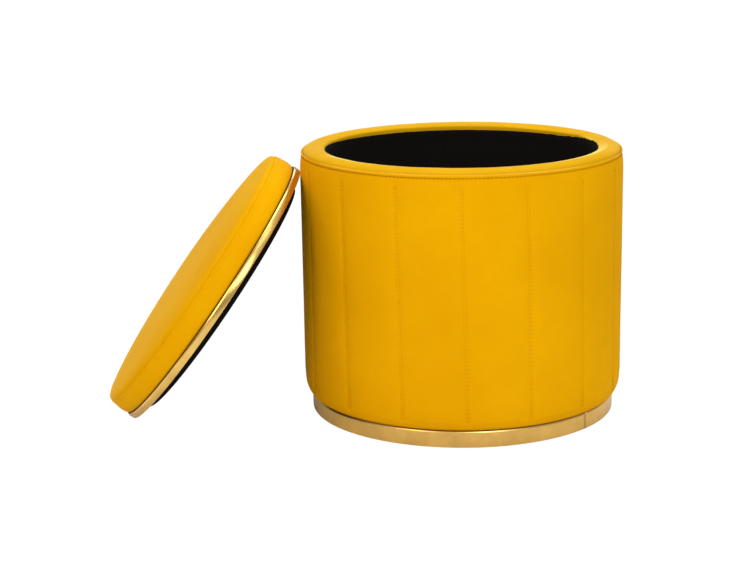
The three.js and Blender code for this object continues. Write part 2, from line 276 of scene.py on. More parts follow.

# %% [markdown]
# ## Velvet
# Cotton velvet is a dense upright pile. It takes dye very deeply, so a mustard velvet has almost
# no blue in it, and its pile leans this way and that in faint cloudy patches where it was
# stroked. Each piece also carries a number at every point for painted light: above zero the
# colour is painted paler, a painted highlight along folds and edges, and below zero it is painted
# darker, a painted shade in creases, along seams and where the cloth tucks under. At a grazing
# angle the tips catch the light, which is what the sheen layer is for. The patches, the pile and
# the painted light and shade are one node group, because the drum, the rim and the lid all use it
# with their own colours. The sheen stays on each shader's own sockets.

# %% Make the velvet pile group
PATCH_DETAIL = 3.0
STREAK_SCALE = 130.0
TUFT_SCALE = 900.0  # tufts a metre
PAINTED_HIGHLIGHT = (0.96, 0.76, 0.16, 1.0)  # painted highlight along folds and edges
PAINTED_SHADE = (0.26, 0.085, 0.0003, 1.0)  # painted shade in creases, along seams and in tucks

pile, pile_in, pile_out = new_group("velvet_pile", Vector=VECTOR, Shaded=COLOUR, Raised=COLOUR,
                                    Patch_Size=FLOAT, Nap=FLOAT)
patches = noisy(pile, pile_in["Vector"], pile_in["Patch Size"], PATCH_DETAIL, 0.55)
streaks = noisy(pile, pile_in["Vector"], STREAK_SCALE, 2.0, 0.6)
tufts = noisy(pile, pile_in["Vector"], TUFT_SCALE, 2.0, 0.7)
pile_colour = mixed(pile, spread(pile, patches, 0.32, 0.68), pile_in["Shaded"], pile_in["Raised"])
# after the dye patches, the painted highlight and the painted shade are mixed in by each piece's
# number
for share, colour in ((spread(pile, streaks, 0.3, 0.7, 0.0, 0.22), pile_in["Shaded"]),
                      (spread(pile, pile_in["Nap"], 0.0, 1.0), PAINTED_HIGHLIGHT),
                      (spread(pile, pile_in["Nap"], 0.0, -1.0), PAINTED_SHADE)):
    pile_colour = mixed(pile, share, pile_colour, colour)
give(pile, pile_out, Color=pile_colour, Roughness=spread(pile, patches, 0.3, 0.7, 0.92, 0.8),
     Height=added(pile, streaks, 0.6, tufts))


def finish_with(name, group, mapping=None, painted_light=None, bump=0.2, bump_reach=0.001, **inputs):
    """A material whose colour, roughness and bump come from a group on Object coordinates."""
    material = bpy.data.materials.new(name)
    material.use_nodes = True
    tree = material.node_tree
    shader = tree.nodes["Principled BSDF"]
    place = add(tree, "ShaderNodeTexCoord").outputs["Object"]
    if mapping:
        place = add(tree, "ShaderNodeMapping", Vector=place, Rotation=mapping).outputs["Vector"]
    # painted highlight and painted shade, read from a number the piece carries at each point
    if painted_light:
        inputs["Nap"] = add(tree, "ShaderNodeAttribute", {"attribute_name": painted_light}).outputs["Fac"]
    effect = add(tree, "ShaderNodeGroup", {"node_tree": group}, Vector=place, **inputs).outputs
    relief_node = add(tree, "ShaderNodeBump", Strength=bump, Distance=bump_reach,
                      Height=effect["Height"])
    give(tree, shader.inputs, Base_Color=effect["Color"], Roughness=effect["Roughness"],
         Normal=relief_node.outputs["Normal"])
    return material, shader


def velvet(name, shaded, raised, patch_size, sheen, tint=(1.0, 0.75, 0.02, 1.0)):
    """A velvet whose pile lies in patches between two colours."""
    # each velvet takes the painted highlight and shade that its piece carries
    material, shader = finish_with(name, pile, painted_light="painted_light", bump=0.18, bump_reach=0.0006,
                                   Shaded=shaded, Raised=raised, Patch_Size=patch_size)
    for label, value in (("Specular IOR Level", 0.02), ("Sheen Weight", sheen),
                         ("Sheen Roughness", 0.25), ("Sheen Tint", tint)):
        shader.inputs[label].default_value = value
    return material


# %% Dye the velvets and the threads, with painted shade in the rim's colour
SIDE_SHADED = (0.72, 0.342, 0.0002, 1.0)
SIDE_RAISED = (0.79, 0.394, 0.0003, 1.0)
# the rim's velvet is a little darker than the side's: painted shade that holds down the rim's top,
# which the lights from above hit hardest
RIM_SHADED = (0.64, 0.340, 0.003, 1.0)
RIM_RAISED = (0.69, 0.388, 0.006, 1.0)
LID_RAISED = (0.76, 0.40, 0.0006, 1.0)
RIM_TINT = (1.0, 0.84, 0.45, 1.0)
LID_TINT = (1.0, 0.82, 0.25, 1.0)
THREAD_LOW = (0.56, 0.235, 0.0005, 1.0)
THREAD_HIGH = (0.66, 0.29, 0.0005, 1.0)
DARK_THREAD_LOW = (0.30, 0.11, 0.0005, 1.0)
DARK_THREAD_HIGH = (0.42, 0.17, 0.0005, 1.0)
side_velvet = velvet("velvet_side", SIDE_SHADED, SIDE_RAISED, patch_size=7.0, sheen=0.04)
rim_velvet = velvet("velvet_rim", RIM_SHADED, RIM_RAISED, 12.0, sheen=0.35, tint=RIM_TINT)
lid_velvet = velvet("velvet_lid", SIDE_SHADED, LID_RAISED, 8.0, sheen=0.17, tint=LID_TINT)
thread = velvet("velvet_thread", THREAD_LOW, THREAD_HIGH, 60.0, sheen=0.02)
dark_thread = velvet("dark_thread", DARK_THREAD_LOW, DARK_THREAD_HIGH, 60.0, sheen=0.02)
print("velvet for the side, the rim and the lid, and two threads")

# %% [markdown]
# ## Gold, black cloth and what is hidden
# The trim is a strip of steel plated in pale gold and rubbed along its length, so its gloss is
# drawn out into fine lines round the band. Plating on thin strip is never quite flat, and a
# slow waviness in the bump breaks up the reflections. The black cloth inside is non-woven, felted
# from short fibres and pressed with a grid of small dots. Plywood, foam, zinc and black plastic
# finish the parts that show only underneath or when the lid is lifted off.

# %% Make the brushed metal, felted cloth and grain groups
LINE_STRETCH = (3.0, 3.0, 900.0)  # slow round the band, fine across it
GRAIN_STRETCH = (4.0, 60.0, 400.0)  # long along X, close across, and plies up Z

brushed, brushed_in, brushed_out = new_group("brushed_strip", Vector=VECTOR, Bright=COLOUR,
                                             Dull=COLOUR, Gloss=FLOAT)
lines_place = add(brushed, "ShaderNodeMapping", Vector=brushed_in["Vector"], Scale=LINE_STRETCH)
lines = noisy(brushed, lines_place.outputs["Vector"], 2.2, 4.0, 0.65)
waves = noisy(brushed, brushed_in["Vector"], 22.0, 1.0, 0.4)
clouds = noisy(brushed, brushed_in["Vector"], 45.0, 5.0, 0.62)
give(brushed, brushed_out,
     Color=mixed(brushed, spread(brushed, clouds, 0.35, 0.7, 0.0, 0.55), brushed_in["Bright"],
                 brushed_in["Dull"]),
     Roughness=added(brushed, clouds, 0.14, brushed_in["Gloss"]),
     Height=added(brushed, lines, 0.03, waves))

felt, felt_in, felt_out = new_group("felted_fibres", Vector=VECTOR, Dark=COLOUR, Light=COLOUR,
                                    Fibre_Scale=FLOAT)
fibres = noisy(felt, felt_in["Vector"], felt_in["Fibre Scale"], 4.0, 0.7, 1.5)
dots = add(felt, "ShaderNodeTexVoronoi", Vector=felt_in["Vector"], Scale=felt_in["Fibre Scale"],
           Randomness=0.25).outputs["Distance"]
give(felt, felt_out,
     Color=mixed(felt, spread(felt, fibres, 0.3, 0.7), felt_in["Dark"], felt_in["Light"]),
     Roughness=spread(felt, fibres, 0.3, 0.7, 0.98, 0.86),
     Height=added(felt, dots, 0.5, fibres))

grain, grain_in, grain_out = new_group("board_grain", Vector=VECTOR, Pale=COLOUR, Figure=COLOUR)
grain_place = add(grain, "ShaderNodeMapping", Vector=grain_in["Vector"], Scale=GRAIN_STRETCH)
figure = noisy(grain, grain_place.outputs["Vector"], 1.6, 5.0, 0.6, 0.4)
give(grain, grain_out,
     Color=mixed(grain, spread(grain, figure, 0.35, 0.68), grain_in["Pale"], grain_in["Figure"]),
     Roughness=spread(grain, figure, 0.3, 0.7, 0.62, 0.85),
     Height=figure)
print("groups for brushed metal, felted cloth and board grain")


# %% Make the other finishes
def metal(name, bright, dull, gloss, mapping=None):
    """A brushed metal that takes its lines round +Z, or round an axis that mapping turns there."""
    material, shader = finish_with(name, brushed, mapping=mapping, bump=0.35,
                                   bump_reach=0.0012, Bright=bright, Dull=dull, Gloss=gloss)
    shader.inputs["Metallic"].default_value = 1.0
    return material


GOLD_BRIGHT = (0.82, 0.55, 0.155, 1.0)
GOLD_DULL = (0.56, 0.36, 0.10, 1.0)
CLOTH_GLOSS = 0.12
plinth_gold = metal("gold_plinth", GOLD_BRIGHT, GOLD_DULL, gloss=0.24)
zinc = metal("zinc", (0.56, 0.56, 0.57, 1.0), (0.42, 0.42, 0.43, 1.0), gloss=0.3)
black_cloth, cloth_shader = finish_with("black_cloth", felt, bump=0.5, bump_reach=0.0005,
                                        Dark=(0.003, 0.0024, 0.0022, 1.0),
                                        Light=(0.007, 0.0055, 0.005, 1.0), Fibre_Scale=420.0)
cloth_shader.inputs["Specular IOR Level"].default_value = CLOTH_GLOSS
foam_finish, _ = finish_with("open_foam", felt, bump=0.6, bump_reach=0.001,
                             Dark=(0.62, 0.55, 0.38, 1.0), Light=(0.82, 0.76, 0.6, 1.0),
                             Fibre_Scale=700.0)
plywood, _ = finish_with("plywood", grain, bump=0.25, bump_reach=0.0004,
                         Pale=(0.58, 0.41, 0.25, 1.0), Figure=(0.42, 0.27, 0.14, 1.0))
glide_black, _ = finish_with("moulded_black", felt, bump=0.1, bump_reach=0.0003,
                             Dark=(0.012, 0.012, 0.012, 1.0), Light=(0.022, 0.022, 0.022, 1.0),
                             Fibre_Scale=900.0)
print("gold, black cloth, foam, plywood, zinc and moulded plastic")

# %% [markdown]
# ## Turning a piece
# Nearly every part here is round, so most pieces start as a lathe turner's template: a closed
# outline of a few corners, each rounded by a bevel of its own, long edges cut up where the
# surface needs points, and a spin about the drum's axis. The full spin merges its last column
# with the first. A strip that stays open at a seam is spun from a face, which leaves an end cap.

# %% Helpers that make and end a turned piece
SHARP = (0.0, 1)  # a corner's rounding in mm, and the bevel's segments
MERGE = 1e-6


def template(corners, closed=True, face=False):
    """An outline in the XZ plane through corners of radius, height, rounding and segments."""
    shape = bmesh.new()
    verts = [shape.verts.new((c[0] * MM, 0.0, c[1] * MM)) for c in corners]
    if face:
        shape.faces.new(verts)
    else:
        last = verts[1:] + verts[:1] if closed else verts[1:]
        for start, end in zip(verts, last):
            shape.edges.new((start, end))
    for vert, corner in zip(verts, corners):
        rounding, segments = corner[2:] or SHARP
        if rounding:
            bmesh.ops.bevel(shape, geom=[vert], offset=rounding * MM, offset_type="OFFSET",
                            segments=segments, profile=0.5, affect="VERTICES", material=-1)
    return shape


def grow(shape, end, corners):
    """Draws an outline on from its end vertex through corners of radius and height in mm."""
    for radius, height in corners:
        corner = shape.verts.new((radius * MM, 0.0, height * MM))
        shape.edges.new((end, corner))
        end = corner


def cut_up(shape, longest, wanted=lambda middle: True):
    """Cuts the wanted edges of an outline into lengths of at most `longest` mm."""
    for edge in list(shape.edges):
        middle = (edge.verts[0].co + edge.verts[1].co) / 2
        cuts = math.ceil(edge.calc_length() / (longest * MM) - MERGE) - 1
        if cuts > 0 and wanted(middle):
            bmesh.ops.subdivide_edges(shape, edges=[edge], cuts=cuts)


def spin(shape, steps, angle=TURN, copy=False):
    """Spins an outline about the upright axis, a full turn unless told otherwise."""
    bmesh.ops.spin(shape, geom=shape.verts[:] + shape.edges[:] + shape.faces[:], cent=ORIGIN,
                   axis=UP, dvec=ORIGIN, angle=angle, steps=steps, use_merge=angle == TURN,
                   use_duplicate=copy)
    bmesh.ops.remove_doubles(shape, verts=shape.verts[:], dist=MERGE)


def repeat(shape, copies):
    """Repeats a shape evenly round the upright axis, and joins it to its copies."""
    spin(shape, copies - 1, TURN / copies * (copies - 1), copy=True)


def ended(shape, name, body, slot, material, *nodes, frame_of=None):
    """Ends a piece: its mesh, object and body, and the nodes it stands for. The slot is not used.
    """
    if frame_of:
        bmesh.ops.transform(shape, matrix=frame_of, verts=shape.verts[:])
    bmesh.ops.recalc_face_normals(shape, faces=shape.faces[:])
    for each in shape.faces:
        each.smooth = True
    open_edges = sum(1 for edge in shape.edges if not edge.is_manifold)
    mesh = bpy.data.meshes.new(name)
    shape.to_mesh(mesh)
    shape.free()
    mesh.materials.append(material)
    piece = in_scene(name, mesh)
    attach(piece, body)
    if nodes:
        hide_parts(*nodes)
    print(f"{name}: {len(mesh.polygons)} faces, {open_edges} open edges")
    return piece


def polar(vert):
    """A vertex's azimuth, its radius in mm and its height in mm."""
    place = vert.co
    return math.atan2(place.y, place.x), math.hypot(place.x, place.y) / MM, place.z / MM


def put(vert, azimuth, radius, height):
    """Moves a vertex to an azimuth, a radius in mm and a height in mm."""
    vert.co = (radius * MM * math.cos(azimuth), radius * MM * math.sin(azimuth), height * MM)


def ease(value, low, high):
    """A smooth step from 0 at low to 1 at high."""
    share = min(1.0, max(0.0, (value - low) / (high - low)))
    return share * share * (3 - 2 * share)


def bump(distance, width):
    """A bell, 1 in its middle."""
    return math.exp(-((distance / width) ** 2))


def turned_from(azimuth, other):
    """How far round one azimuth is from another, up to half a turn either way."""
    return (azimuth - other + math.pi) % TURN - math.pi


def wander(azimuth, height, size, seed):
    """Slow noise of -1 to 1 that joins up round the drum. Its patches are size mm across, and
    the seed is a number of its own for each use."""
    around = drum_radius / size
    return noise.noise((around * math.cos(azimuth), around * math.sin(azimuth),
                        height / size + seed))


# %% [markdown]
# ## The drum's cover
# Sixteen upright channels are sewn through the velvet and its wadding with two rows of stitches,
# and the cover is pulled over the drum like a sock. Each seam lies in a shallow valley, the
# velvet swells between them, and the needle holes pull small dimples. One channel is spun from
# the template and repeated, then its points are gathered towards the seams, where the shape
# changes fastest. Modelling the swell with a texture would leave the outline dead straight, so
# the relief is real and the texture only adds the pile.

# %% Shape the cover
COVER_THICKNESS = 1.8
HEM_WIDTH = 14.0
FOOT_PULL = 6.5  # inwards, at the cover's foot
HEM_LIFT = 1.0
HEM_SKIN = 0.8
FOOT_TALL = 24.0
SHOULDER_TALL = 13.0
FOLD_RISE = 3.6  # of the folded edge above the stitched seam
SEAM_COUNT = 16
CHANNEL = TURN / SEAM_COUNT
CHANNEL_COLUMNS = 22
SIDE_ROWS = 110
GATHER = 0.76  # how far the columns crowd towards the seams
SEAM_TURN = math.radians(-5.46)  # of the seams, at the top
SEAM_DRIFT = math.radians(2.0)  # further round by the foot
SWELL = 0.75
SWELL_REACH = 11.0
SLACK = (0.35, 75.0, 11.0)  # its height, its patches' size and its seed
VALLEY = 0.95
VALLEY_WIDTH = 3.0
ROW_OFFSET = 1.5  # of each row of stitches from the seam
DIMPLE = 0.32
DIMPLE_WIDTH = 0.9

cover_inner = drum_radius - COVER_THICKNESS
side_low = cover_foot + FOOT_TALL
side_high = top_seam - SHOULDER_TALL
row_height = (side_high - side_low) / SIDE_ROWS
stitch_pitch = 2 * row_height


def seam_azimuth(azimuth, height):
    """Turns a plain azimuth to where the sewn cover really lies at a height."""
    return azimuth + SEAM_TURN + SEAM_DRIFT * (top_seam - height) / (top_seam - cover_foot)


def slack(azimuth, height):
    """The slow unevenness of stretched velvet, in mm."""
    rise, size, seed = SLACK
    return rise * wander(azimuth, height, size, seed)


def relief(azimuth, height):
    """How far the sewn cover stands off its plain side, in mm."""
    share = (azimuth / CHANNEL) % 1.0
    away = min(share, 1.0 - share) * CHANNEL * drum_radius
    sewn = ease(height, cover_foot, cover_foot + 9.0) * (1 - ease(height, top_seam - 7.0, top_seam))
    fading = 0.6 + 0.5 * wander(azimuth, height, 45.0, 3.0)
    hole = 0.5 + 0.5 * math.cos(TURN * (height - side_low) / stitch_pitch)
    pulled = 0.72 + 0.6 * wander(azimuth, height, 70.0, 7.0)
    swell = SWELL * (1 - bump(away, SWELL_REACH)) - 0.5 * SWELL
    valley = -VALLEY * pulled * bump(away, VALLEY_WIDTH) * (1.0 - 0.45 * bump(away, 0.8))
    dimples = -DIMPLE * fading * hole * bump(away - ROW_OFFSET, DIMPLE_WIDTH)
    pucker = 0.12 * bump(away, 7.0) * math.sin(TURN * height / (2.6 * stitch_pitch) + 5 * share)
    return sewn * (swell + valley + dimples + pucker) + slack(azimuth, height)


cover = template([
    (wall_radius - HEM_WIDTH, cover_foot + HEM_LIFT),
    (drum_radius - FOOT_PULL, cover_foot + HEM_LIFT, 0.7, 3),
    (drum_radius - 0.27 * FOOT_PULL, cover_foot + 0.33 * FOOT_TALL, 5.0, 4),
    (drum_radius, side_low, 9.0, 6),
    (drum_radius, side_high, 6.0, 4),
    (drum_radius - 1.2, top_seam - 1.2, 1.6, 3),
    (drum_radius - 2.0, top_seam + 0.2, 0.7, 2),
    (drum_radius - 0.6, top_seam + 0.55 * FOLD_RISE, 0.9, 3),
    (drum_radius - 1.5, top_seam + FOLD_RISE + 1.2, 0.8, 4),
    (drum_radius - 3.9, top_seam + FOLD_RISE - 2.0, 0.3, 2),
    (cover_inner - 1.4, top_seam - 1.0),
    (cover_inner, side_high),
    (cover_inner, side_low, 9.0, 3),
    (drum_radius - FOOT_PULL - HEM_SKIN, cover_foot + HEM_LIFT + HEM_SKIN, 0.3, 2),
    (wall_radius - HEM_WIDTH, cover_foot + HEM_LIFT + HEM_SKIN),
])
cut_up(cover, row_height, lambda middle: middle.x > (drum_radius - 3.0) * MM)
spin(cover, CHANNEL_COLUMNS, CHANNEL)
repeat(cover, SEAM_COUNT)
# painted light on the cover: a painted highlight along the crest of the folded edge, and painted
# shade in the crease behind it, along the top seam and where the foot tucks under
cover_painted_light = cover.verts.layers.float.new("painted_light")
fold_crest = top_seam + FOLD_RISE + 0.7
for vert in cover.verts:
    azimuth, radius, height = polar(vert)
    crest_highlight = bump(height - fold_crest, 0.8) * ease(radius, drum_radius - 3.0, drum_radius - 2.0)
    crest_highlight *= 0.22 + 0.4 * wander(azimuth, 0.0, 60.0, 17.0)
    crease_shade = ease(height, top_seam + 1.0, top_seam + 1.6)
    crease_shade *= 1 - ease(radius, drum_radius - 3.4, drum_radius - 2.6)
    tuck_shade = 1 - ease(height, cover_foot + 1.2, cover_foot + 3.4)
    vert[cover_painted_light] = crest_highlight - crease_shade - 0.2 * bump(height - top_seam, 0.9) - 0.5 * tuck_shade
    share = (azimuth / CHANNEL) % 1.0
    azimuth -= GATHER * CHANNEL * math.sin(TURN * share) / TURN
    outside = ease(radius, cover_inner - 0.6, cover_inner + 1.2)
    skin = outside * relief(azimuth, height)
    put(vert, seam_azimuth(azimuth, height), radius + skin, height)
drum_cover = ended(cover, "drum_cover", "drum", "velvet", side_velvet, "side_cover")

# %% [markdown]
# ## Stitches
# A stitch is a short thread that dips into the cloth at each end. There are hundreds, so each is
# a small stretched ball of a few dozen faces. One seam's two rows are built on the plain drum and
# repeated sixteen times, and then every point is laid on the cover by the same relief.

# %% Sew the channels
CHANNEL_STITCH = (0.28, 1.55)  # half its width and half its length
STITCH_LIFT = 0.10
SEAM_ENDS = 18.0  # of the channels' height, without stitches


def stitch(shape, place, half_width, half_length, turn=0.0):
    """Adds one stitch at a place in mm, upright or turned about the way it faces."""
    size = Matrix.Diagonal((half_width * MM, half_width * MM, half_length * MM, 1.0))
    stand = Matrix.Translation(Vector(place) * MM) @ Matrix.Rotation(turn, 4, "X")
    bmesh.ops.create_uvsphere(shape, u_segments=6, v_segments=5, radius=1.0, matrix=stand @ size)


seam_threads = bmesh.new()
for row in range(int((top_seam - cover_foot - SEAM_ENDS) / stitch_pitch)):
    for side in (-ROW_OFFSET, ROW_OFFSET):
        place = (drum_radius, side, side_low + (row - 2) * stitch_pitch)
        stitch(seam_threads, place, *CHANNEL_STITCH)
for vert in seam_threads.verts:
    pull = FOOT_PULL * (1 - ease(vert.co.z / MM, cover_foot - 12.0, side_low)) ** 2
    vert.co.x -= pull * MM
repeat(seam_threads, SEAM_COUNT)
for vert in seam_threads.verts:
    azimuth, radius, height = polar(vert)
    lift = relief(azimuth, height) + STITCH_LIFT
    put(vert, seam_azimuth(azimuth, height), radius + lift, height)
ended(seam_threads, "channel_stitches", "drum", "velvet", thread)

# %% [markdown]
# ## The rim
# A separate band of velvet is sewn to the cover's top edge, drawn over a roll of foam and turned
# down inside the mouth. Seen close, the cover's folded edge stands up as a fine ridge, and the
# roll rises behind it out of a crease. Where the band's ends were joined, a short line crosses
# the roll, and at the far right the velvet was pulled in with a pinch and a long soft dent.

# %% Shape the rim facing
OUTER_FULLNESS = 2.2  # 2 is an ellipse, more is squarer
INNER_FULLNESS = 5.5
INNER_SLOPE = 0.26  # how far the top falls towards the mouth
RIM_SKIN = 1.4
ARCH_STEPS = 30
RIM_COLUMNS = 320
JOINT_AZIMUTH = math.radians(197.0)
PINCH_AZIMUTH = math.radians(25.0)
DENT_AZIMUTH = math.radians(45.0)
PINCH_PULL = 1.9
DENT_DEPTH = 1.5
JOINT_DEPTH = 0.55
FRONT_HIGHLIGHT = 9.15  # from the mouth, how far the painted highlight on the front's inner edge reaches
MOUTH_TUCK = ((0.15, -3.0), (0.75, -7.0))  # steps outwards and down, from the roll's inner end
CREASE_TUCK = ((-0.9, -1.1), (-2.2, -1.6))  # and from its outer end

rim_outer = drum_radius - 3.4
rim_inner = lining_radius - 1.6
rim_low = top_seam + 0.5 * FOLD_RISE
rim_middle = (rim_outer + rim_inner) / 2
rim_half = (rim_outer - rim_inner) / 2
rim_rise = crown_height - rim_low


def arch(angle, inset):
    """A point on the roll, from its outer crease over the crown and down into the mouth."""
    fullness = OUTER_FULLNESS if math.cos(angle) > 0 else INNER_FULLNESS
    across = math.copysign(abs(math.cos(angle)) ** (2 / fullness), math.cos(angle))
    up = math.sin(angle) ** (2 / fullness) * (1 - INNER_SLOPE * max(0.0, -across))
    return rim_middle + (rim_half - inset) * across, rim_low + (rim_rise - inset) * up


roll = bmesh.new()
bmesh.ops.create_circle(roll, cap_ends=False, segments=2 * ARCH_STEPS, radius=1.0)
lower_half = [vert for vert in roll.verts if vert.co.y < -MERGE]
bmesh.ops.delete(roll, geom=lower_half, context="VERTS")
for vert in roll.verts:
    radius, height = arch(math.atan2(max(0.0, vert.co.y), vert.co.x), 0.0)
    vert.co = (radius * MM, 0.0, height * MM)
roll_ends = (min(roll.verts, key=lambda vert: vert.co.x), MOUTH_TUCK), (
    max(roll.verts, key=lambda vert: vert.co.x), CREASE_TUCK)
for end, tuck in roll_ends:
    grow(roll, end, [(end.co.x / MM + across, end.co.z / MM + down) for across, down in tuck])
cut_up(roll, 1.6)
spin(roll, RIM_COLUMNS)


def rim_shift(azimuth, radius, height):
    """How far the facing moves outwards and upwards from the even roll, in mm."""
    into_mouth = ease(rim_middle + 4.0 - radius, 0.0, rim_half)
    on_top = ease(height, rim_low + 2.0, crown_height - 1.0)
    from_pinch = turned_from(azimuth, PINCH_AZIMUTH)
    from_joint = turned_from(azimuth, JOINT_AZIMUTH) * radius
    outwards = 0.35 * wander(azimuth, height, 60.0, 21.0) * into_mouth
    outwards += PINCH_PULL * into_mouth * bump(from_pinch, 0.030)
    upwards = 0.30 * wander(azimuth, height, 38.0, 31.0) * on_top
    upwards -= DENT_DEPTH * into_mouth * on_top * bump(turned_from(azimuth, DENT_AZIMUTH), 0.24)
    upwards += 0.8 * into_mouth * on_top * bump(from_pinch + 0.045, 0.035)
    upwards -= JOINT_DEPTH * on_top * bump(from_joint, 0.9)
    return outwards, upwards


# painted light on the rim: a painted highlight along the inner edge of the roll, strongest at the
# front, and painted shade in the crease at its outer foot
roll_painted_light = roll.verts.layers.float.new("painted_light")
lip_radius, lip_height = arch(math.radians(146.0), 0.0)
for vert in roll.verts:
    azimuth, radius, height = polar(vert)
    lip_highlight = 0.45 * bump(math.hypot(radius - lip_radius, height - lip_height), 1.3)
    lip_highlight *= 1 - ease(math.sin(azimuth), 0.0, 0.5)
    front_highlight = 1 - ease(radius, rim_inner + FRONT_HIGHLIGHT, rim_inner + FRONT_HIGHLIGHT + 4.5)
    lip_highlight += 0.9 * ease(-math.sin(azimuth), 0.35, 0.85) * front_highlight
    crease_shade = ease(radius, rim_middle, rim_outer - 2.0)
    crease_shade *= 1 - ease(height, rim_low + 0.6, rim_low + 2.6)
    vert[roll_painted_light] = lip_highlight * (0.9 + 0.5 * wander(azimuth, 0.0, 50.0, 27.0)) - 0.7 * crease_shade
    azimuth -= 0.4 * math.sin(2 * (azimuth - JOINT_AZIMUTH))
    outwards, upwards = rim_shift(azimuth, radius, height)
    put(vert, azimuth, radius + outwards, height + upwards)
rim_facing = ended(roll, "rim_facing", "drum", "velvet", rim_velvet, "rim_cover")
rim_skin = rim_facing.modifiers.new("velvet_thickness", "SOLIDIFY")
rim_skin.thickness = RIM_SKIN * MM
rim_skin.offset = -1.0

# %% Sew the rim to the cover
SEAM_STITCH = (0.4, 1.25)  # half its width and half its length
RIM_STITCHES = 262
RIM_STITCH_INSET = 1.65


def ring_of_stitches(radius, height, count, surface):
    """Stitches end to end round a seam, laid on a surface that moves them outwards."""
    threads = bmesh.new()
    stitch(threads, (radius, 0.0, height), *SEAM_STITCH, turn=math.pi / 2)
    repeat(threads, count)
    for vert in threads.verts:
        azimuth, radius, height = polar(vert)
        put(vert, azimuth, radius + surface(azimuth, height), height)
    return threads


rim_threads = ring_of_stitches(drum_radius - RIM_STITCH_INSET, top_seam, RIM_STITCHES, slack)
ended(rim_threads, "rim_stitches", "drum", "velvet", dark_thread)

# %% [markdown]
# ## Inside the drum
# The drum is lined with black non-woven cloth: one strip round the wall, lapped where it meets,
# and a covered panel on the bottom. The strip was cut by hand, so its top edge wanders a little
# against the velvet. Both are thin and held flat, so they are turned rather than draped.

# %% Line the wall and the floor
LINING_SKIN = 0.8
LINING_COLUMNS = 360
LINING_REACH = 5.2  # how much higher the lining comes at the sides of the mouth
LINING_RAGGED = 1.4
LAP_AZIMUTH = math.radians(140.0)
RIGHT_PEAK = math.radians(10.0)
LEFT_PEAK = math.radians(186.0)
lining_inner = rim_inner
lining_top = top_seam + 1.2

strip = template([
    (lining_inner, lining_foot, 0.3, 2),
    (lining_inner + LINING_SKIN, lining_foot, 0.3, 2),
    (lining_inner + LINING_SKIN, lining_top, 0.35, 2),
    (lining_inner, lining_top, 0.35, 2),
])
cut_up(strip, 9.0)
spin(strip, LINING_COLUMNS)
for vert in strip.verts:
    azimuth, radius, height = polar(vert)
    near_top = ease(height, lining_top - 22.0, lining_top)
    right = turned_from(azimuth, RIGHT_PEAK)
    left = turned_from(azimuth, LEFT_PEAK)
    ragged = 0.12 + 2.0 * bump(right - 0.12, 0.30) + 1.2 * bump(left, 0.14)
    higher = bump(left + 0.02, 0.62) + bump(right + 0.20, 0.46)
    frayed = wander(azimuth, 0.0, 14.0, 41.0) + 0.8 * wander(azimuth, 0.0, 6.0, 43.0)
    rise = near_top * (ragged * LINING_RAGGED * frayed + LINING_REACH * higher)
    lap = turned_from(azimuth, LAP_AZIMUTH) * radius
    inwards = 0.5 * bump(lap - 6.0, 7.0) + 0.35 * wander(azimuth, height, 55.0, 51.0)
    over = ease(height, lining_top - 6.0, lining_top - 1.0)  # over the velvet's edge
    put(vert, azimuth, radius - over - max(-0.2, inwards) * (1 - 0.7 * near_top), height + rise)
lining_strip = ended(strip, "lining_strip", "drum", "black_lining", black_cloth, "lining_wall")

panel = template([
    (0.0, panel_low),
    (panel_radius - 0.6, panel_low, 0.5, 2),
    (panel_radius - 0.6, panel_high, 1.0, 3),
    (0.0, panel_high),
], closed=False)
cut_up(panel, 8.0)
spin(panel, 160)
for vert in panel.verts:
    azimuth, radius, height = polar(vert)
    sag = 0.25 * wander(azimuth, radius, 60.0, 61.0) * ease(radius, 0.0, 30.0)
    if height > panel_high - 1.0:
        put(vert, azimuth, radius, height + sag)
ended(panel, "storage_panel", "drum", "black_lining", black_cloth,
      "storage_floor")

# %% [markdown]
# ## The plinth's gold edge
# A strip of plated steel is bent round the plinth, its ends butted at one seam. It is spun from
# a small rounded face, almost all the way round, so the seam is a real slit. The strip is a
# little crowned, which gathers the light into one long highlight, and its upper edge is bent in
# over the board, which gives the thin bright line on top.

# %% Bend the plinth's strip
PLINTH_STRIP = 1.4
LIP_TALL = 1.9  # of the upper edge, which is bent in over the board
LIP_IN = 0.85
SEAM_SLIT = 0.3
STRIP_COLUMNS = 200
PLINTH_SEAM = math.radians(-43.5)
PLINTH_CROWN = 0.2
PLINTH_WOBBLE = 0.25


def metal_strip(radius, low, high, crown, seam, wobble, seed):
    """A metal strip bent round a board, open by a slit at one azimuth, and a little crowned."""
    shape = template([
        (radius - PLINTH_STRIP, low, 0.3, 2),
        (radius, low, 0.45, 3),
        (radius + crown, (low + high) / 2, 0.36 * (high - low), 6),
        (radius, high - LIP_TALL, 0.5, 3),
        (radius - LIP_IN, high, 0.3, 2),
        (radius - PLINTH_STRIP, high, 0.3, 2),
    ], face=True)
    slit = SEAM_SLIT / radius
    spin(shape, STRIP_COLUMNS, TURN - slit)
    bmesh.ops.rotate(shape, cent=ORIGIN, matrix=Matrix.Rotation(seam + slit / 2, 3, "Z"),
                     verts=shape.verts[:])
    for vert in shape.verts:
        azimuth, away, height = polar(vert)
        put(vert, azimuth, away + wobble * wander(azimuth, 0.0, 70.0, seed), height)
    return shape


plinth_strip = metal_strip(plinth_radius, plinth_low, plinth_high, PLINTH_CROWN, PLINTH_SEAM,
                           PLINTH_WOBBLE, seed=71.0)
ended(plinth_strip, "plinth_trim", "drum", "band_metal", plinth_gold,
      "plinth_band")

# %% [markdown]
# ## Underneath
# Nobody sees the underside until the ottoman is carried, but it is finished: a disc of black
# cloth stapled over the board, and four round glides that keep the gold off the floor.

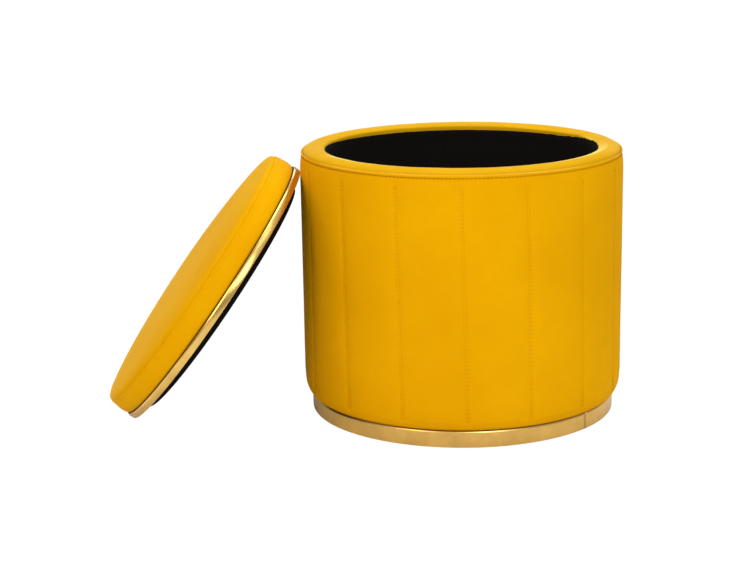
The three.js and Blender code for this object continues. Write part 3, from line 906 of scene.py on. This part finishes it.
# %% Cover the underside and add glides
dust = template([
    (0.0, dust_low),
    (dust_radius, dust_low, 0.3, 2),
    (dust_radius, dust_high, 0.3, 2),
    (0.0, dust_high),
], closed=False)
cut_up(dust, 7.0)
spin(dust, 160)
for vert in dust.verts:
    azimuth, radius, height = polar(vert)
    edge = ease(radius, dust_radius - 25.0, dust_radius)
    ruffle = 0.8 * edge * wander(azimuth, 0.0, 9.0, 81.0)
    put(vert, azimuth, radius + ruffle, height)
dust_cloth = ended(dust, "dust_cloth", "drum", "black_lining", black_cloth, "dust_cover")

STAPLE_COUNT = 28
STAPLE_SIZE = Vector((1.1, 10.0, 0.7))
STAPLE_INSET = 7.0
staples = bmesh.new()
bmesh.ops.create_cube(staples, size=1.0)
bmesh.ops.bevel(staples, geom=staples.edges[:], offset=0.2, offset_type="OFFSET", segments=2,
                profile=0.5, affect="EDGES", material=-1)
bmesh.ops.scale(staples, vec=STAPLE_SIZE * MM, verts=staples.verts[:])
bmesh.ops.translate(staples, vec=((dust_radius - STAPLE_INSET) * MM, 0.0, (dust_low + 0.1) * MM),
                    verts=staples.verts[:])
repeat(staples, STAPLE_COUNT)
ended(staples, "dust_staples", "drum", "screw_steel", zinc)

GLIDE_PAD = 3.35  # thickness of a glide's pad
GLIDE_SHANK = 2.0  # radius of its shank
for index in range(1, 5):
    name = f"glide_{index}"
    low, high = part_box(name)
    pad_radius = (high.x - low.x) / 2 / MM
    glide = template([
        (0.0, 0.0),
        (pad_radius - 0.4, 0.0, 1.6, 5),
        (pad_radius, GLIDE_PAD, 0.4, 2),
        (GLIDE_SHANK, GLIDE_PAD),
        (GLIDE_SHANK, high.z / MM, 0.3, 2),
        (0.0, high.z / MM),
    ], closed=False)
    spin(glide, 40)
    middle = (low + high) / 2
    bmesh.ops.translate(glide, vec=(middle.x, middle.y, 0.0), verts=glide.verts[:])
    ended(glide, f"glide_pad_{index}", "drum", "glide_plastic", glide_black, name)

# %% [markdown]
# ## The lid's own frame
# The lid leans, which makes every measurement on it slanted. It is far easier to make each piece
# flat, as it lies on the bench, and to turn the finished mesh into place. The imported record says
# where the flat underside of the lid's plug is and which way it faces, and that gives the frame.

# %% Find the lid's frame
PLUG_DEPTH = 7.6
BAND_HEIGHT = 9.0
underside = next(m for m in frame["record"]["mounts"] if m["name"] == "lid_underside")
lid_up = -Vector(underside["axis"]).normalized()
lid_along = Vector((0.0, 1.0, 0.0)).cross(lid_up)
lid_place = Vector(underside["pos_m"]) + lid_up * PLUG_DEPTH * MM
lid_frame = Matrix((
    (lid_along.x, 0.0, lid_up.x, lid_place.x),
    (lid_along.y, 1.0, lid_up.y, lid_place.y),
    (lid_along.z, 0.0, lid_up.z, lid_place.z),
    (0.0, 0.0, 0.0, 1.0),
))
lid_lean = math.atan2(lid_along.z, lid_along.x)
lid_gold = metal("gold_lid", GOLD_BRIGHT, GOLD_DULL, gloss=0.14, mapping=(0.0, lid_lean, 0.0))
lid_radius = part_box("lid_band")[1].y / MM
print(f"the lid leans {math.degrees(lid_lean):.1f} degrees, radius {lid_radius:.1f} mm")

# %% [markdown]
# ## The lid's gold edge
# The same strip, narrower, is bent round the lid's board, and two brads hold its ends.

# %% Bend the lid's strip and set its brads
BRAD_SPACING = 9.0
LID_CROWN = 0.4
LID_WOBBLE = 0.12
brad_turn = BRAD_SPACING / lid_radius
lid_strip = metal_strip(lid_radius, 0.0, BAND_HEIGHT, LID_CROWN, (math.pi - brad_turn) / 2,
                        LID_WOBBLE, seed=91.0)
ended(lid_strip, "lid_trim", "lid", "band_metal", lid_gold, "lid_band",
      frame_of=lid_frame)
for index, (body, turn) in enumerate((("lid_carrier", 0.0), ("lid", -brad_turn)), 1):
    brad = template([
        (0.0, -11.0),
        (0.9, -9.0, 0.2, 1),
        (0.9, 0.15, 0.1, 1),
        (2.1, 0.15, 0.2, 2),
        (1.4, 1.1, 0.9, 4),
        (0.0, 1.15),
    ], closed=False)
    spin(brad, 24)
    stand = (Matrix.Rotation(turn, 4, "Z")
             @ Matrix.Translation((0.0, lid_radius * MM, BAND_HEIGHT / 2 * MM))
             @ Matrix.Rotation(-math.pi / 2, 4, "X"))
    ended(brad, f"band_brad_{index}", body, "band_metal", lid_gold,
          f"lid_band_pin_{index}", frame_of=lid_frame @ stand)

# %% [markdown]
# ## The lid's boxing
# A strip of velvet runs round the edge of the cushion, from a tack line hidden behind the gold
# to the top seam. It bulges a little over the foam, and near the seam the stitches gather it
# into small puckers that come and go.

# %% Shape the boxing
BOXING_INSET = 1.6
BOXING_HIGH = 35.5
BOXING_DRAW = 2.4
BOXING_COLUMNS = 360
PUCKER_DEPTH = 1.25
boxing_foot = lid_radius - BOXING_INSET
boxing_top = boxing_foot - BOXING_DRAW


def puckers(azimuth, below):
    """How far the gathered velvet stands out near the lid's top seam, in mm."""
    strength = ease(wander(azimuth, 0.0, 70.0, 101.0), -0.25, 0.45)
    fold = wander(azimuth, below * 0.35, 6.5, 111.0) + 0.7 * wander(azimuth, below, 11.0, 121.0)
    return PUCKER_DEPTH * strength * fold * bump(below - 2.5, 8.0)


def boxing_relief(azimuth, height):
    """How far the boxing stands off its plain side, in mm."""
    return puckers(azimuth, BOXING_HIGH - height) + 0.3 * wander(azimuth, height, 50.0, 131.0)


boxing = template([
    (boxing_foot - 3.2, BAND_HEIGHT + 0.35),
    (boxing_foot - 1.1, BAND_HEIGHT + 0.35, 0.8, 3),
    (boxing_foot + 0.7, BAND_HEIGHT + 4.6, 3.6, 5),
    (boxing_foot + 0.9, BAND_HEIGHT + 12.0, 4.0, 4),
    (boxing_foot - 0.2, BOXING_HIGH - 9.0, 6.0, 5),
    (boxing_top + 0.5, BOXING_HIGH - 0.6, 0.9, 4),
    (boxing_top - 2.2, BOXING_HIGH + 0.3, 0.3, 2),
    (boxing_top - 3.0, BOXING_HIGH - 2.0),
    (boxing_foot - 2.8, BOXING_HIGH - 9.0),
    (boxing_foot - 2.8, BAND_HEIGHT + 3.0),
])
cut_up(boxing, 1.5, lambda middle: middle.x > (boxing_top - 1.0) * MM)
spin(boxing, BOXING_COLUMNS)
# painted shade where the boxing tucks in above the gold and along its top seam
boxing_painted_light = boxing.verts.layers.float.new("painted_light")
for vert in boxing.verts:
    azimuth, radius, height = polar(vert)
    tuck_shade = 1 - ease(height, BAND_HEIGHT + 0.6, BAND_HEIGHT + 3.2)
    seam = 0.22 * bump(height - BOXING_HIGH, 0.9) * (1 + 1.5 * wander(azimuth, 0.0, 40.0, 141.0))
    vert[boxing_painted_light] = -0.9 * tuck_shade - seam
    outside = ease(radius, boxing_top - 2.0, boxing_top + 0.2)
    put(vert, azimuth, radius + outside * boxing_relief(azimuth, height), height)
lid_side = ended(boxing, "lid_side", "lid", "velvet", lid_velvet, "lid_boxing",
                 frame_of=lid_frame)

# %% [markdown]
# ## The lid's cushion top
# The top panel is a disc of velvet sewn round its edge and pushed up by the foam. That is just
# what a cloth simulation does well: a closed cushion with a full round edge is remeshed into even
# cells, blown up by a light pressure and left to settle, with its underside and edge pinned. A
# cap on the travel keeps the crown low. A remeshed skin is bumpy at its seam, so it is not shown:
# a clean disc of square cells is laid on it by rays sent down, and turned in at the seam.

# %% Cut the cushion
CUSHION_RISE = 11.0  # of the cushion above its seam, before it swells
CUSHION_FULLNESS = 3.4
CUSHION_SKIN = 1.4
cushion_radius = boxing_top + 0.2


def dome(radius):
    """The height in mm of the cut cushion above its seam, at a distance from its middle."""
    share = min(1.0, radius / cushion_radius)
    return CUSHION_RISE * (1 - share ** CUSHION_FULLNESS) ** (1 / CUSHION_FULLNESS)


flat_cushion = bmesh.new()
bmesh.ops.create_circle(flat_cushion, cap_ends=False, segments=96, radius=1.0)
bmesh.ops.delete(flat_cushion, context="VERTS", geom=[
    vert for vert in flat_cushion.verts if vert.co.x < -MERGE or vert.co.y < -MERGE])
for vert in flat_cushion.verts:
    across = max(0.0, vert.co.x) ** (2 / CUSHION_FULLNESS)
    up = max(0.0, vert.co.y) ** (2 / CUSHION_FULLNESS)
    vert.co = (cushion_radius * across * MM, 0.0, (BOXING_HIGH + CUSHION_RISE * up) * MM)
cushion_low = BOXING_HIGH - 9.0
grow(flat_cushion, max(flat_cushion.verts, key=lambda vert: vert.co.x),
     ((cushion_radius, cushion_low), (0.0, cushion_low)))
cut_up(flat_cushion, 6.0)
spin(flat_cushion, 180)
bmesh.ops.recalc_face_normals(flat_cushion, faces=flat_cushion.faces[:])
print(f"cushion cut {CUSHION_RISE:.1f} mm high over a seam of radius {cushion_radius:.1f} mm")

# %% Blow up the cushion
CUSHION_VOXEL = 5.0
CUSHION_PRESSURE = 4.0
CUSHION_FRAMES = 20
CUSHION_CAP = 3.2
CLOTH_SETTINGS = {
    "quality": 6,
    "mass": 0.3,
    "tension_stiffness": 8.0,
    "compression_stiffness": 8.0,
    "bending_stiffness": 1.5,
    "use_pressure": True,
    "uniform_pressure_force": CUSHION_PRESSURE,
    "vertex_group_mass": "underside",
}


def evaluated(source):
    """A new mesh of what an object's modifiers make."""
    graph = bpy.context.evaluated_depsgraph_get()
    return bpy.data.meshes.new_from_object(source.evaluated_get(graph), depsgraph=graph)


def blown_up(shape, name):
    """The bmesh of a closed shape after it has been remeshed and simulated as cloth."""
    start = bpy.data.meshes.new(name)
    shape.to_mesh(start)
    shape.free()
    cushion = in_scene(name, start)
    remesh = cushion.modifiers.new("even_cells", "REMESH")
    remesh.mode = "VOXEL"
    remesh.voxel_size = CUSHION_VOXEL * MM
    even = evaluated(cushion)
    cushion.modifiers.clear()
    cushion.data = even
    before = [vert.co.copy() for vert in even.vertices]
    pinned = cushion.vertex_groups.new(name="underside")
    floor_level = (BOXING_HIGH - 1.0) * MM
    edge_level = (boxing_top - 3.0) * MM
    for index, place in enumerate(before):
        if place.z < floor_level or math.hypot(place.x, place.y) > edge_level:
            pinned.add([index], 1.0, "REPLACE")
    cloth = cushion.modifiers.new("velvet_cloth", "CLOTH")
    for setting, value in CLOTH_SETTINGS.items():
        setattr(cloth.settings, setting, value)
    cloth.settings.effector_weights.gravity = 0.0
    cloth.collision_settings.use_collision = False
    cloth.point_cache.frame_start = 1
    cloth.point_cache.frame_end = CUSHION_FRAMES
    for step in range(1, CUSHION_FRAMES + 1):
        bpy.context.scene.frame_set(step)
    settled = evaluated(cushion)
    bpy.context.scene.frame_set(1)
    moves = [(after.co - place) for after, place in zip(settled.vertices, before)]
    longest = max(move.length for move in moves) / MM
    print(f"{name}: the cloth moved up to {longest:.1f} mm before the cap")
    for vert, place, move in zip(settled.vertices, before, moves):
        far = move.length / MM
        capped = CUSHION_CAP * math.tanh(far / CUSHION_CAP)
        vert.co = place + (move * (capped / far) if far > MERGE else move)
    result = bmesh.new()
    result.from_mesh(settled)
    bpy.data.objects.remove(cushion)
    bmesh.ops.smooth_vert(result, verts=result.verts[:], factor=0.5, use_axis_x=True,
                          use_axis_y=True, use_axis_z=True)
    return result


swollen = None
swollen = BVHTree.FromBMesh(blown_up(flat_cushion, "cushion_simulation"))

# %% Lay the velvet on it
DISC_CELLS = 64
DISC_GATHER = 1.6  # how far the cells crowd towards the edge
EDGE_SHARE = 0.972  # from here outwards the velvet turns down to its seam
EDGE_CURVE = 0.36
EDGE_IN = 0.4  # of the edge that is turned in at the seam
EDGE_DOWN = 2.4
PUCKER_SHARE = 0.8  # how much of the boxing's puckers the top takes
DROP_FROM = 0.2  # metres, well above the lid
DOWN = Vector((0.0, 0.0, -1.0))


def cushion_height(x, y):
    """The height in mm of the swollen cushion at a point of the lid, x and y in metres."""
    radius = math.hypot(x, y) / MM
    inside = min(1.0, EDGE_SHARE * cushion_radius / max(radius, MERGE))
    if swollen:
        hit = swollen.ray_cast(Vector((x * inside, y * inside, DROP_FROM)), DOWN)[0]
        height = hit.z / MM - BOXING_HIGH
    else:
        height = dome(radius * inside) + 0.5 * CUSHION_CAP * (1 - (radius / cushion_radius) ** 2)
    left = max(0.0, 1 - radius / cushion_radius) / (1 - EDGE_SHARE)
    return BOXING_HIGH + height * min(1.0, left) ** EDGE_CURVE


cushion_top = bmesh.new()
bmesh.ops.create_grid(cushion_top, x_segments=DISC_CELLS, y_segments=DISC_CELLS, size=1.0)
for vert in cushion_top.verts:
    x, y = vert.co.x, vert.co.y
    reach = max(abs(x), abs(y))
    if reach < MERGE:
        azimuth = 0.0
    elif abs(x) >= abs(y):
        azimuth = math.pi / 4 * y / x + (math.pi if x < 0 else 0.0)
    else:
        azimuth = math.pi / 2 - math.pi / 4 * x / y + (math.pi if y < 0 else 0.0)
    radius = cushion_radius * (1 - max(0.0, 1 - reach) ** DISC_GATHER)
    put(vert, azimuth, radius, 0.0)
    gathered = PUCKER_SHARE * puckers(azimuth, (radius - cushion_radius) * PUCKER_SHARE)
    vert.co.z = (cushion_height(vert.co.x, vert.co.y) + gathered) * MM
rim_edges = [edge for edge in cushion_top.edges if edge.is_boundary]
turned_in = bmesh.ops.extrude_edge_only(cushion_top, edges=rim_edges)["geom"]
for vert in (each for each in turned_in if isinstance(each, bmesh.types.BMVert)):
    azimuth, radius, height = polar(vert)
    put(vert, azimuth, radius - EDGE_IN, height - EDGE_DOWN)
# painted shade along the cushion's seam
cushion_painted_light = cushion_top.verts.layers.float.new("painted_light")
for vert in cushion_top.verts:
    _, radius, _ = polar(vert)
    vert[cushion_painted_light] = -0.12 * bump(cushion_radius - radius, 0.8)
lid_cushion = ended(cushion_top, "lid_cushion", "lid", "velvet", lid_velvet, "lid_top_panel",
                    frame_of=lid_frame)
cushion_skin = lid_cushion.modifiers.new("velvet_thickness", "SOLIDIFY")
cushion_skin.thickness = CUSHION_SKIN * MM
cushion_skin.offset = -1.0
cushion_smooth = lid_cushion.modifiers.new("finer", "SUBSURF")
cushion_smooth.levels = 1
cushion_smooth.render_levels = 1

# %% Sew the cushion's top seam
LID_STITCHES = 240
LID_STITCH_DROP = 4.2  # below the seam
lid_threads = ring_of_stitches(boxing_top + 1.0, BOXING_HIGH - LID_STITCH_DROP, LID_STITCHES,
                               boxing_relief)
ended(lid_threads, "lid_stitches", "lid", "velvet", thread, frame_of=lid_frame)

# %% [markdown]
# ## The lid's plug
# The plug that drops into the mouth is a smaller board in the same black cloth, pulled over its
# edge and stapled on the hidden side, so the cloth's corner is soft and round.

# %% Wrap the plug
PLUG_SKIN = 0.8
PLUG_TOP = -0.35
PLUG_FOOT = -PLUG_DEPTH - 0.8  # the cloth stands a little off the board
plug_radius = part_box("plug_lining")[1].y / MM
plug = template([
    (0.0, PLUG_FOOT),
    (plug_radius, PLUG_FOOT, 2.2, 5),
    (plug_radius, PLUG_TOP, 0.4, 2),
    (plug_radius - PLUG_SKIN, PLUG_TOP, 0.3, 2),
    (plug_radius - PLUG_SKIN, PLUG_FOOT + PLUG_SKIN, 1.6, 3),
    (0.0, PLUG_FOOT + PLUG_SKIN),
], closed=False)
cut_up(plug, 8.0)
spin(plug, 180)
plug_cloth = ended(plug, "plug_cloth", "lid", "black_lining", black_cloth, "plug_lining",
                   frame_of=lid_frame)

# %% [markdown]
# ## Everything behind the covers
# The boards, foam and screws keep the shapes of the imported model. They are seen only through the
# gaps, so a better material in each one's slot is all they need. The lid's board is wrapped in
# the black cloth before the gold goes round it, so it takes that finish.

# %% Dress the kept nodes
WRAPPED = ("lid_base", "plug_board")
kept = [name for name, node in frame["nodes"].items() if not node.hide_render]
for name in kept:
    if "foam" in name:
        chosen = foam_finish
    elif "screw" in name:
        chosen = zinc
    elif name in WRAPPED:
        chosen = black_cloth
    else:
        chosen = plywood
    node = frame["nodes"][name]
    if not node.material_slots:
        node.data.materials.append(chosen)
    for each_slot in node.material_slots:
        each_slot.material = chosen
print(len(kept), "nodes keep their packed shape under a new finish")
